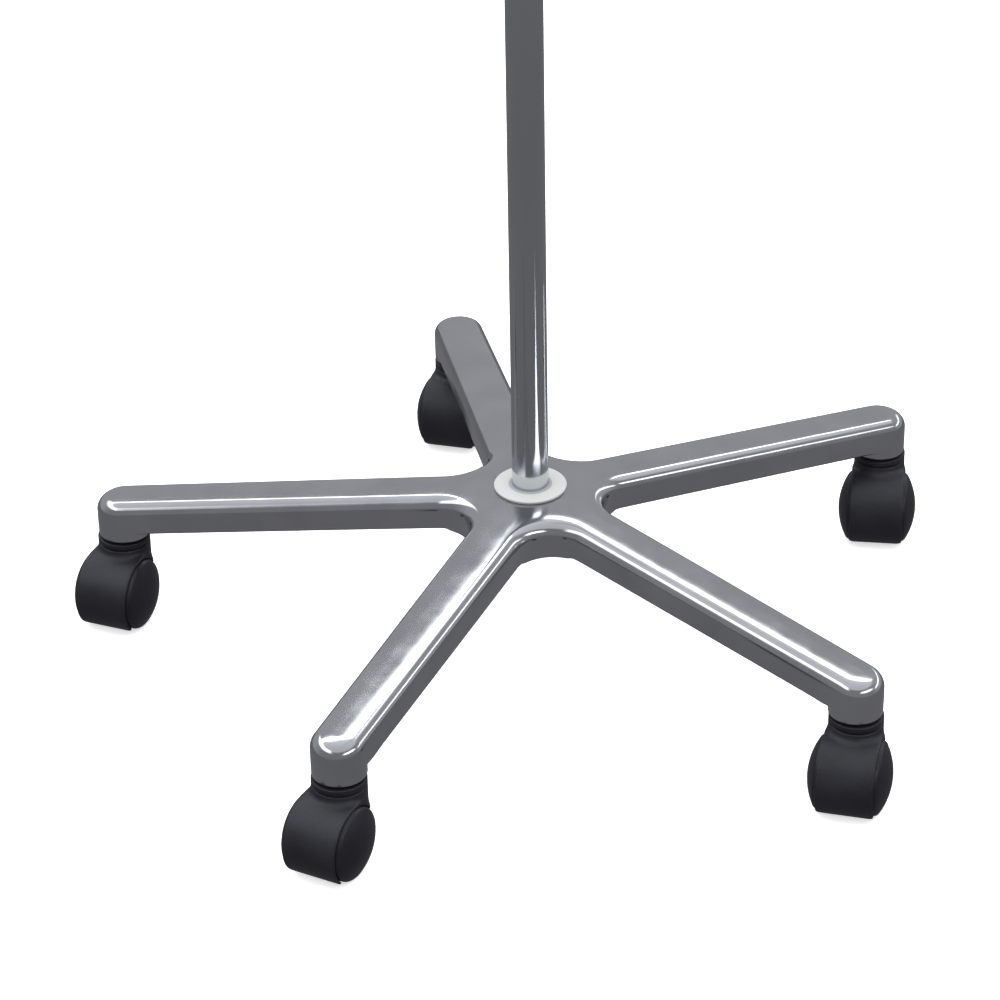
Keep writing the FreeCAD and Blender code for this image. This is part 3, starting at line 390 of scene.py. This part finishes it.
def hood_field(points):
    """Signed distance to the hood, swivel axis upright at the origin, wheels trailing along +X."""
    x, y, z = points[..., 0], points[..., 1], points[..., 2]
    from_axle = np.hypot(x - TRAIL, z - AXLE_HEIGHT)
    neck_top = HOOD_TOP - RING_HEIGHT - RING_GAP
    neck_low = AXLE_HEIGHT + 6.0
    band = round_cylinder(from_axle, y, BAND_OUTER, BAND_HALF, BAND_EDGE)
    neck_middle, neck_half = (neck_top + neck_low) / 2, (neck_top - neck_low) / 2
    neck = round_cylinder(np.hypot(x, y), z - neck_middle, NECK_RADIUS, neck_half, NECK_EDGE)
    body = smooth_union(band, neck, NECK_BLEND)
    plan = np.where(x < 0.0, np.hypot(x, y) - REAR_RADIUS, np.abs(y) - REAR_RADIUS)
    body = smooth_cut(body, -plan, PLAN_EDGE)
    wheel_bay = np.maximum(from_axle - BAND_INNER, WEB_HALF - np.abs(y))
    behind = np.maximum(x - TRAIL, (z - AXLE_HEIGHT - (TRAIL - x) * OPEN_SLOPE) * 0.866)
    corner = np.clip((np.abs(y) - FOOT_FLAT) / (BAND_HALF - FOOT_FLAT), 0.0, 1.0)
    opening = np.minimum(z - BAND_FOOT - FOOT_RISE * corner**2, behind)
    shell = smooth_cut(smooth_cut(body, wheel_bay, 0.6), opening, 1.2)
    web = np.maximum(np.maximum(from_axle - BAND_INNER, np.abs(y) - WEB_HALF), BAND_FOOT + 2.0 - z)
    return np.minimum(shell, web)


def swivel_ring():
    """Thin ring on top of the neck, with a narrow groove under it."""
    low, top, edge = HOOD_TOP - RING_HEIGHT, HOOD_TOP, 0.7
    outline = [(11.3, low - 3.0), (NECK_RADIUS - 1.2, low - 3.0), (NECK_RADIUS - 1.2, low)]
    outline += arc((NECK_RADIUS - edge, low + edge), edge, -90.0, 0.0, 5)
    outline += arc((NECK_RADIUS - edge, top - edge), edge, 0.0, 90.0, 5)
    outline += [(11.3, top), (11.3, low - 3.0)]
    return lathe(outline)


def build_hoods(material):
    """One hood mesh, placed on each swivelling fork."""
    reach = TRAIL + BAND_OUTER + 3.0
    low, high = (-NECK_RADIUS - 3.0, -BAND_HALF - 3.0, 0.0), (reach, BAND_HALF + 3.0, HOOD_TOP)
    shell = surface_net(hood_field, low, high, 0.8)
    vertices, faces = joined(shell, swivel_ring())
    for caster, stem in zip(CASTERS, STEMS):
        toward = middle_mm(f"{caster}_axle")[:2] - stem
        cosine, sine = toward / np.hypot(*toward)
        turned = vertices.copy()
        turned[:, 0] = vertices[:, 0] * cosine - vertices[:, 1] * sine + stem[0]
        turned[:, 1] = vertices[:, 0] * sine + vertices[:, 1] * cosine + stem[1]
        piece = add_piece(f"{caster}_cover", turned, faces, material, caster, 60.0)
        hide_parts(f"{caster}_hood")


def wheel_outline():
    """(radius, distance from the fork's middle) of a wheel: bore, inner face, tread, shoulder, domed face."""
    outline = [(0.0, BORE_END), (3.2, BORE_END), (3.2, WHEEL_INNER), (WHEEL_RADIUS - 0.6, WHEEL_INNER)]
    outline += [(WHEEL_RADIUS, WHEEL_INNER + 0.6), (WHEEL_RADIUS, WHEEL_RIM - WHEEL_SHOULDER)]
    shoulder = (WHEEL_RADIUS - WHEEL_SHOULDER, WHEEL_RIM - WHEEL_SHOULDER)
    outline += arc(shoulder, WHEEL_SHOULDER, 0.0, 62.0, 8)[1:]
    edge, height = outline[-1]
    rise = WHEEL_CROWN - height
    bow = (edge**2 + rise**2) / (2 * rise)
    for radius in np.linspace(edge, 0.0, 12)[1:]:
        outline.append((radius, WHEEL_CROWN - bow + math.sqrt(bow**2 - radius**2)))
    return outline


def build_wheels(material):
    """A smooth wheel on each wheel body, its axis level and square to the fork."""
    points, faces = lathe(wheel_outline())
    for caster, stem in zip(CASTERS, STEMS):
        axle = middle_mm(f"{caster}_axle")
        ahead = (axle[:2] - stem) / np.hypot(*(axle[:2] - stem))
        for side in ("left", "right"):
            offset = middle_mm(f"{caster}_wheel_{side}")[:2] - axle[:2]
            out = offset / np.hypot(*offset)
            turn = float(np.sign(ahead[0] * out[1] - ahead[1] * out[0]))
            placed = np.zeros_like(points)
            placed[:, :2] = axle[:2] + points[:, :1] * ahead + points[:, 2:] * out
            placed[:, 2] = axle[2] + points[:, 1]
            quads = faces if turn < 0 else [quad[::-1] for quad in faces]
            wheel = f"{caster}_{side}"
            piece = add_piece(f"{caster}_tyre_{side}", placed, quads, material, wheel)
            weld(piece)
            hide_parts(f"{caster}_wheel_{side}")


# ---------------------------------------------------------------- collar

COLLAR_FLANGE = 2.0                  # thickness of the flat ring
LIP_FOOT, LIP_TOP = 15.5, 13.4       # radii of the lip round the pole
COLLAR_GAP = 0.05


def build_collar(material):
    low, high = box_mm("hub_collar")
    outer, foot, top = high[0], low[2], high[2]
    flange = foot + COLLAR_FLANGE
    bore = POLE_RADIUS + COLLAR_GAP
    outline = [(bore, foot), (outer - 0.3, foot)] + arc((outer - 0.8, flange - 0.8), 0.8, 0.0, 90.0, 6)
    outline += [(LIP_FOOT, flange)] + arc((LIP_TOP, top - 0.35), 0.35, 60.0, 90.0, 3)
    outline += [(bore, top), (bore, foot)]
    vertices, faces = lathe(outline, FINE_STEPS)
    piece = add_piece("collar_ring", vertices, faces, material, "base")
    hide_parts("hub_collar")


# ---------------------------------------------------------------- poles

LOWER_WALL, UPPER_WALL, TUBE_EDGE = 1.5, 1.2, 0.4


def tube_outline(outer, inner, low, high):
    edge = TUBE_EDGE
    outline = [(inner, low)] + arc((outer - edge, low + edge), edge, -90.0, 0.0, 4)
    outline += arc((outer - edge, high - edge), edge, 0.0, 90.0, 4) + [(inner, high), (inner, low)]
    return outline


def build_pole(node, name, body, wall, material):
    low, high = box_mm(node)
    vertices, faces = lathe(tube_outline(high[0], high[0] - wall, low[2], high[2]), FINE_STEPS)
    piece = add_piece(name, vertices, faces, material, body)
    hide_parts(node)


# ---------------------------------------------------------------- node helpers


def new_material(name):
    """A material with a Principled shader. Returns it, its node tree and the shader."""
    material = bpy.data.materials.new(name)
    material.use_nodes = True
    tree = material.node_tree
    return material, tree, tree.nodes["Principled BSDF"]


def object_coords(tree, scale=(1.0, 1.0, 1.0)):
    """Row-frame coordinates in metres, stretched by scale."""
    coords = tree.nodes.new("ShaderNodeTexCoord")
    mapping = tree.nodes.new("ShaderNodeMapping")
    mapping.inputs["Scale"].default_value = scale
    tree.links.new(coords.outputs["Object"], mapping.inputs["Vector"])
    return mapping.outputs["Vector"]


def noise(tree, scale, detail=3.0, stretch=(1.0, 1.0, 1.0)):
    node = tree.nodes.new("ShaderNodeTexNoise")
    node.inputs["Scale"].default_value = scale
    node.inputs["Detail"].default_value = detail
    tree.links.new(object_coords(tree, stretch), node.inputs["Vector"])
    return node.outputs["Fac"]


def spread(tree, value, low, high, from_low=0.3, from_high=0.7):
    """Maps a 0..1 signal to low..high."""
    node = tree.nodes.new("ShaderNodeMapRange")
    node.inputs["From Min"].default_value = from_low
    node.inputs["From Max"].default_value = from_high
    node.inputs["To Min"].default_value = low
    node.inputs["To Max"].default_value = high
    tree.links.new(value, node.inputs["Value"])
    return node.outputs["Result"]


def blend_colours(tree, factor, first, second):
    node = tree.nodes.new("ShaderNodeMix")
    node.data_type = "RGBA"
    node.inputs["A"].default_value = (*first, 1.0)
    node.inputs["B"].default_value = (*second, 1.0)
    tree.links.new(factor, node.inputs["Factor"])
    return node.outputs["Result"]


def add_bump(tree, shader, height, distance, strength=1.0):
    node = tree.nodes.new("ShaderNodeBump")
    node.inputs["Distance"].default_value = distance
    node.inputs["Strength"].default_value = strength
    tree.links.new(height, node.inputs["Height"])
    tree.links.new(node.outputs["Normal"], shader.inputs["Normal"])


# ---------------------------------------------------------------- materials


def polished_aluminium():
    """Buffed casting: soft mirror with faint waviness and uneven polish."""
    material, tree, shader = new_material("polished_aluminium")
    patches = noise(tree, 18.0, 4.0)
    colour = blend_colours(tree, spread(tree, patches, 0.0, 1.0), (0.57, 0.575, 0.595), (0.66, 0.665, 0.685))
    tree.links.new(colour, shader.inputs["Base Color"])
    shader.inputs["Metallic"].default_value = 1.0
    tree.links.new(spread(tree, noise(tree, 60.0, 6.0), 0.09, 0.17), shader.inputs["Roughness"])
    add_bump(tree, shader, noise(tree, 45.0, 2.0), 0.00007, 0.6)
    return material


def chrome():
    material, tree, shader = new_material("chrome_plate")
    smudge = noise(tree, 30.0, 5.0, (1.0, 1.0, 0.12))
    colour = blend_colours(tree, spread(tree, smudge, 0.0, 1.0), (0.58, 0.6, 0.62), (0.66, 0.68, 0.7))
    tree.links.new(colour, shader.inputs["Base Color"])
    shader.inputs["Metallic"].default_value = 1.0
    tree.links.new(spread(tree, smudge, 0.08, 0.16), shader.inputs["Roughness"])
    add_bump(tree, shader, noise(tree, 900.0, 2.0, (1.0, 1.0, 0.02)), 0.00001, 0.4)
    return material


def moulded_plastic(name, dark, light, roughness, grain=2200.0, depth=0.00004):
    """Moulded plastic with a fine spark-eroded grain and slightly uneven shine."""
    material, tree, shader = new_material(name)
    patches = noise(tree, 40.0, 4.0)
    colour = blend_colours(tree, spread(tree, patches, 0.0, 1.0), dark, light)
    tree.links.new(colour, shader.inputs["Base Color"])
    tree.links.new(spread(tree, patches, roughness - 0.06, roughness + 0.06), shader.inputs["Roughness"])
    add_bump(tree, shader, noise(tree, grain, 2.0), depth, 0.5)
    return material


def turned_steel(name, tint, roughness):
    """Zinc or stainless steel with fine turning lines."""
    material, tree, shader = new_material(name)
    lines = noise(tree, 700.0, 3.0, (0.1, 0.1, 1.0))
    dark = tuple(0.8 * c for c in tint)
    colour = blend_colours(tree, spread(tree, lines, 0.0, 1.0), dark, tint)
    tree.links.new(colour, shader.inputs["Base Color"])
    shader.inputs["Metallic"].default_value = 1.0
    tree.links.new(spread(tree, lines, roughness - 0.05, roughness + 0.08), shader.inputs["Roughness"])
    add_bump(tree, shader, lines, 0.00002, 0.4)
    return material


def plastic_with_shaded_lip(name, outer, inner, radius):
    """Moulded cream plastic ring about the pole whose inner part, the lip, is painted greyer: painted shade
    and reflection of the pole on the same plastic.
    """
    material, tree, shader = new_material(name)
    length = tree.nodes.new("ShaderNodeVectorMath")
    length.operation = "LENGTH"
    tree.links.new(object_coords(tree, (1.0, 1.0, 0.0)), length.inputs[0])
    # mask of the lip round the pole, which gets the greyer painted shade colour
    lip_shade_mask = spread(tree, length.outputs["Value"], 0.0, 1.0, radius - 0.0003, radius + 0.0003)
    ring = blend_colours(tree, lip_shade_mask, inner, outer)
    tree.links.new(ring, shader.inputs["Base Color"])
    tree.links.new(spread(tree, noise(tree, 60.0, 4.0), 0.34, 0.46), shader.inputs["Roughness"])
    add_bump(tree, shader, noise(tree, 1500.0, 2.0), 0.00003, 0.5)
    return material


def make_materials():
    return {
        "cast_aluminium": polished_aluminium(),
        "chrome": chrome(),
        "stainless_rod": turned_steel("stainless_rod", (0.58, 0.58, 0.6), 0.2),
        "zinc_steel": turned_steel("zinc_steel", (0.5, 0.5, 0.52), 0.35),
        "brass": turned_steel("brass", (0.72, 0.52, 0.22), 0.3),
        # the greyer inner colour is painted shade and pole reflection on the collar's lip
        "cream_plastic": plastic_with_shaded_lip("cream_plastic", (0.5, 0.51, 0.48), (0.3, 0.31, 0.33), 0.0149),
        "grey_plastic": moulded_plastic("grey_plastic", (0.1, 0.1, 0.105), (0.13, 0.13, 0.135), 0.5),
        "black_plastic": moulded_plastic("black_plastic", (0.018, 0.018, 0.02), (0.028, 0.028, 0.03), 0.45),
        "hood_plastic": moulded_plastic("hood_plastic", (0.012, 0.012, 0.017), (0.021, 0.021, 0.028), 0.48,
                                        grain=700.0, depth=0.00016),
        "wheel_nylon": moulded_plastic("wheel_nylon", (0.007, 0.007, 0.012), (0.012, 0.012, 0.019), 0.42),
    }


def paint_nodes(materials):
    """Gives every CAD node the material of its slot."""
    for name, node in NODES.items():
        node.data.materials.clear()
        node.data.materials.append(materials[SLOT_OF[name]])


# ---------------------------------------------------------------- studio


def add_floor():
    mesh = bpy.data.meshes.new("studio_floor")
    half = 12.0
    corners = [(-half, -half, 0), (half, -half, 0), (half, half, 0), (-half, half, 0)]
    mesh.from_pydata(corners, [], [(0, 1, 2, 3)])
    floor = bpy.data.objects.new("studio_floor", mesh)
    bpy.context.scene.collection.objects.link(floor)
    material, tree, shader = new_material("studio_floor")
    shader.inputs["Base Color"].default_value = (0.93, 0.93, 0.93, 1.0)
    shader.inputs["Roughness"].default_value = 0.8
    shader.inputs["Emission Color"].default_value = (1.0, 1.0, 1.0, 1.0)
    shader.inputs["Emission Strength"].default_value = 0.6
    darker_off_camera(tree, shader, 0.17)
    mesh.materials.append(material)


def darker_off_camera(tree, shader, grey):
    """Darkens the floor for everything but the camera, so that metal and undersides keep contrast."""
    path = tree.nodes.new("ShaderNodeLightPath")
    dark = tree.nodes.new("ShaderNodeEmission")
    dark.inputs["Color"].default_value = (grey, grey, grey * 1.06, 1.0)
    mix = tree.nodes.new("ShaderNodeMixShader")
    out = tree.nodes["Material Output"]
    tree.links.new(path.outputs["Is Camera Ray"], mix.inputs["Fac"])
    tree.links.new(dark.outputs["Emission"], mix.inputs[1])
    tree.links.new(shader.outputs["BSDF"], mix.inputs[2])
    tree.links.new(mix.outputs["Shader"], out.inputs["Surface"])


def calculate(tree, operation, first, second):
    node = tree.nodes.new("ShaderNodeMath")
    node.operation = operation
    for socket, value in zip(node.inputs, (first, second)):
        if isinstance(value, float):
            socket.default_value = value
        else:
            tree.links.new(value, socket)
    return node.outputs[0]


def toward(tree, direction, x, y):
    """Horizontal share of a direction toward the unit vector (x, y)."""
    along_x = calculate(tree, "MULTIPLY", direction["X"], x)
    along_y = calculate(tree, "MULTIPLY", direction["Y"], y)
    return calculate(tree, "ADD", along_x, along_y)


def lit_panel(tree, height, low, high, side, edge, value):
    """A soft-edged lit panel between two heights, on the side where side is over edge."""
    rise = spread(tree, height, 0.0, 1.0, low - 0.012, low + 0.012)
    fall = spread(tree, height, 1.0, 0.0, high - 0.012, high + 0.012)
    across = spread(tree, side, 0.0, 1.0, edge - 0.06, edge + 0.06)
    band = calculate(tree, "MULTIPLY", rise, fall)
    panel = calculate(tree, "MULTIPLY", across, value)
    return calculate(tree, "MULTIPLY", band, panel)


def studio_reflection(tree):
    """Grey walls, pale ceiling, lamps behind and in front, a strip, a window."""
    coords = tree.nodes.new("ShaderNodeTexCoord")
    parts = tree.nodes.new("ShaderNodeSeparateXYZ")
    tree.links.new(coords.outputs["Generated"], parts.inputs["Vector"])
    height = parts.outputs["Z"]
    behind = toward(tree, parts.outputs, 0.18, 0.98)
    walls = spread(tree, behind, 0.24, 0.4, -0.4, 0.4)
    ceiling = spread(tree, height, 0.0, 0.4, 0.7, 0.77)
    lamp = lit_panel(tree, height, 0.735, 0.785, behind, 0.48, 4.5)
    strip = lit_panel(tree, height, 0.33, 0.4, toward(tree, parts.outputs, 0.94, 0.35), 0.78, 3.0)
    window = lit_panel(tree, height, 0.6, 0.8, toward(tree, parts.outputs, -0.97, 0.22), 0.4, 1.6)
    room = calculate(tree, "ADD", walls, ceiling)
    front = lit_panel(tree, height, 0.46, 0.57, toward(tree, parts.outputs, 0.59, -0.81), 0.8, 5.0)
    for panel in (lamp, strip, window, front):
        room = calculate(tree, "ADD", room, panel)
    return room


def overhead_light(tree):
    """Diffuse light: strong from above, weak from the sides."""
    coords = tree.nodes.new("ShaderNodeTexCoord")
    parts = tree.nodes.new("ShaderNodeSeparateXYZ")
    tree.links.new(coords.outputs["Generated"], parts.inputs["Vector"])
    return spread(tree, parts.outputs["Z"], 0.08, 2.3, 0.2, 1.0)


def set_world():
    """White to the camera, soft overhead light on matt surfaces, a plain room in reflections."""
    world = bpy.data.worlds.new("studio")
    bpy.context.scene.world = world
    world.use_nodes = True
    tree = world.node_tree
    path = tree.nodes.new("ShaderNodeLightPath")
    backdrop = tree.nodes["Background"]
    backdrop.inputs["Color"].default_value = (1.0, 1.0, 1.0, 1.0)
    shown = backdrop.outputs["Background"]
    for ray, tint, strength in (("Is Glossy Ray", (0.97, 0.99, 1.04), studio_reflection(tree)),
                                ("Is Diffuse Ray", (0.97, 0.99, 1.04), overhead_light(tree))):
        seen = tree.nodes.new("ShaderNodeBackground")
        seen.inputs["Color"].default_value = (*tint, 1.0)
        tree.links.new(strength, seen.inputs["Strength"])
        mix = tree.nodes.new("ShaderNodeMixShader")
        tree.links.new(path.outputs[ray], mix.inputs["Fac"])
        tree.links.new(shown, mix.inputs[1])
        tree.links.new(seen.outputs["Background"], mix.inputs[2])
        shown = mix.outputs["Shader"]
    tree.links.new(shown, tree.nodes["World Output"].inputs["Surface"])


def add_softbox(name, place, aim, width, height, watts):
    light = bpy.data.lights.new(name, "AREA")
    light.shape = "RECTANGLE"
    light.size, light.size_y, light.energy = width, height, watts
    lamp = bpy.data.objects.new(name, light)
    lamp.location = place
    lamp.rotation_euler = (Vector(aim) - Vector(place)).to_track_quat("-Z", "Y").to_euler()
    lamp.visible_glossy = False
    bpy.context.scene.collection.objects.link(lamp)


def add_lights():
    centre = (0.0, 0.0, 0.2)
    add_softbox("key_softbox", (-0.3, -0.3, 3.2), centre, 2.4, 2.4, 45.0)
    add_softbox("fill_softbox", (2.4, -0.6, 1.6), centre, 1.6, 2.0, 4.0)


CAMERA_PLACE = (-0.4066, -2.185, 1.4499)                      # metres
CAMERA_DIP, CAMERA_TURN, CAMERA_ROLL = 31.13, -10.0, -1.044   # degrees
SENSOR, LENS = 36.0, 136.06                                   # millimetres


def add_camera():
    camera = bpy.data.cameras.new("camera")
    camera.sensor_width = SENSOR
    camera.lens = LENS
    eye = bpy.data.objects.new("camera", camera)
    look = Euler((math.radians(90.0 - CAMERA_DIP), 0.0, math.radians(CAMERA_TURN))).to_matrix()
    tilt = Matrix.Rotation(math.radians(CAMERA_ROLL), 3, "Z")
    eye.matrix_world = Matrix.Translation(CAMERA_PLACE) @ (look @ tilt).to_4x4()
    bpy.context.scene.collection.objects.link(eye)
    bpy.context.scene.camera = eye


MATERIALS = make_materials()
paint_nodes(MATERIALS)
build_star(MATERIALS["cast_aluminium"])
build_hoods(MATERIALS["hood_plastic"])
build_wheels(MATERIALS["wheel_nylon"])
build_collar(MATERIALS["cream_plastic"])
build_pole("lower_pole", "lower_tube", "base", LOWER_WALL, MATERIALS["chrome"])
build_pole("upper_pole", "upper_tube", "upper", UPPER_WALL, MATERIALS["chrome"])
add_floor()
set_world()
add_lights()
add_camera()
bpy.context.scene.view_settings.view_transform = "Standard"
